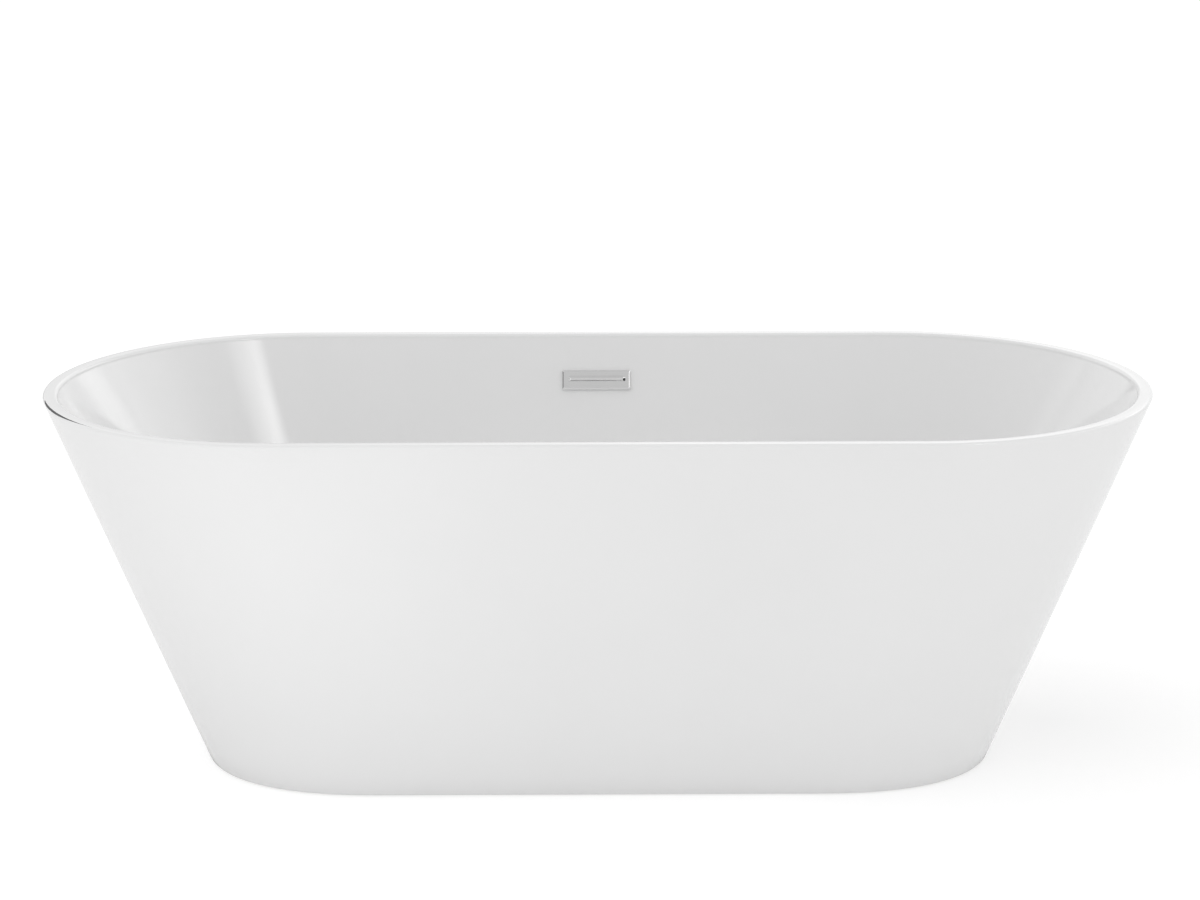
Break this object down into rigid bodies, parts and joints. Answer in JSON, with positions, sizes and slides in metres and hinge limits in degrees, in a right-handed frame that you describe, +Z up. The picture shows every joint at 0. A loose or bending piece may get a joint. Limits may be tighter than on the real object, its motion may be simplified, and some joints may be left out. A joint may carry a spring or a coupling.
{
  "type": "freestanding bathtub",
  "caption": "Freestanding double-ended oval bathtub with a flared seamless skirt, thin flat rim, slot overflow, centre push waste and hidden levelling feet.",
  "frame": {"origin": "on the floor, under the middle of the tub", "axes": "+X along the tub's length, +Y towards the side with the overflow, +Z up"},
  "size_m": [1.7, 0.8, 0.58],
  "materials": {
    "acrylic_white": "polished white sanitary acrylic",
    "chrome": "bright polished chrome",
    "stainless": "plain stainless steel",
    "frame_steel": "zinc-plated steel",
    "board_wood": "raw particle board",
    "rubber_black": "matt black rubber",
    "plastic_black": "moulded black plastic",
    "plastic_white": "moulded white plastic",
    "hose_grey": "corrugated grey plastic"
  },
  "bodies": {
    "tub": {"basin": "acrylic_white", "skirt": "acrylic_white", "base_board": "board_wood", "crossbar_1": "frame_steel", "crossbar_2": "frame_steel", "crossbar_3": "frame_steel", "crossbar_4": "frame_steel", "rail_front": "frame_steel", "rail_back": "frame_steel", "skirt_bracket_front_left": "frame_steel", "foot_boss_front_left": "frame_steel", "bracket_screw_front_left": "stainless", "board_screw_front_left": "stainless", "foot_jam_nut_front_left": "stainless", "skirt_bracket_front_right": "frame_steel", "foot_boss_front_right": "frame_steel", "bracket_screw_front_right": "stainless", "board_screw_front_right": "stainless", "foot_jam_nut_front_right": "stainless", "skirt_bracket_back_left": "frame_steel", "foot_boss_back_left": "frame_steel", "bracket_screw_back_left": "stainless", "board_screw_back_left": "stainless", "foot_jam_nut_back_left": "stainless", "skirt_bracket_back_right": "frame_steel", "foot_boss_back_right": "frame_steel", "bracket_screw_back_right": "stainless", "board_screw_back_right": "stainless", "foot_jam_nut_back_right": "stainless", "drain_flange": "chrome", "overflow_cover": "chrome", "drain_gasket_upper": "rubber_black", "drain_gasket_lower": "rubber_black", "waste_washer": "rubber_black", "overflow_gasket": "rubber_black", "drain_locknut": "plastic_black", "waste_tee": "plastic_black", "waste_slip_nut": "plastic_black", "overflow_body": "plastic_black", "waste_tailpiece": "plastic_white", "stopper_cartridge": "plastic_white", "stopper_spring": "stainless", "overflow_frame": "stainless", "overflow_screw_left": "stainless", "overflow_screw_right": "stainless", "hose_clamp_top": "stainless", "hose_clamp_bottom": "stainless", "overflow_hose": "hose_grey"},
    "pad_front_left": {"foot_pad_front_left": "rubber_black"},
    "stud_front_left": {"foot_stud_front_left": "stainless"},
    "pad_front_right": {"foot_pad_front_right": "rubber_black"},
    "stud_front_right": {"foot_stud_front_right": "stainless"},
    "pad_back_left": {"foot_pad_back_left": "rubber_black"},
    "stud_back_left": {"foot_stud_back_left": "stainless"},
    "pad_back_right": {"foot_pad_back_right": "rubber_black"},
    "stud_back_right": {"foot_stud_back_right": "stainless"},
    "stopper": {"stopper_cap": "chrome", "stopper_seal": "rubber_black", "stopper_stem": "stainless"}
  },
  "joints": [
    {"name": "foot_height_front_left", "type": "slide", "parent": "tub", "child": "pad_front_left", "axis": [0, 0, 1], "range_m": [-0.015, 0.01]},
    {"name": "foot_screw_front_left", "type": "hinge", "parent": "pad_front_left", "child": "stud_front_left", "pos_m": [-0.43, -0.14, 0.02], "axis": [0, 0, 1], "range_deg": [-3601, 2401]},
    {"name": "foot_height_front_right", "type": "slide", "parent": "tub", "child": "pad_front_right", "axis": [0, 0, 1], "range_m": [-0.015, 0.01]},
    {"name": "foot_screw_front_right", "type": "hinge", "parent": "pad_front_right", "child": "stud_front_right", "pos_m": [0.43, -0.14, 0.02], "axis": [0, 0, 1], "range_deg": [-3601, 2401]},
    {"name": "foot_height_back_left", "type": "slide", "parent": "tub", "child": "pad_back_left", "axis": [0, 0, 1], "range_m": [-0.015, 0.01]},
    {"name": "foot_screw_back_left", "type": "hinge", "parent": "pad_back_left", "child": "stud_back_left", "pos_m": [-0.43, 0.14, 0.02], "axis": [0, 0, 1], "range_deg": [-3601, 2401]},
    {"name": "foot_height_back_right", "type": "slide", "parent": "tub", "child": "pad_back_right", "axis": [0, 0, 1], "range_m": [-0.015, 0.01]},
    {"name": "foot_screw_back_right", "type": "hinge", "parent": "pad_back_right", "child": "stud_back_right", "pos_m": [0.43, 0.14, 0.02], "axis": [0, 0, 1], "range_deg": [-3601, 2401]},
    {"name": "stopper_push", "type": "slide", "parent": "tub", "child": "stopper", "axis": [0, 0, 1], "range_m": [-0.009, 0], "stiffness_N_per_m": 300, "springref_m": 0.01, "deforming": ["stopper_spring"]}
  ],
  "couplings": [
    {"joint": "foot_screw_front_left", "follows": "foot_height_front_left", "rad_per_m": 4188.8},
    {"joint": "foot_screw_front_right", "follows": "foot_height_front_right", "rad_per_m": 4188.8},
    {"joint": "foot_screw_back_left", "follows": "foot_height_back_left", "rad_per_m": 4188.8},
    {"joint": "foot_screw_back_right", "follows": "foot_height_back_right", "rad_per_m": 4188.8}
  ]
}
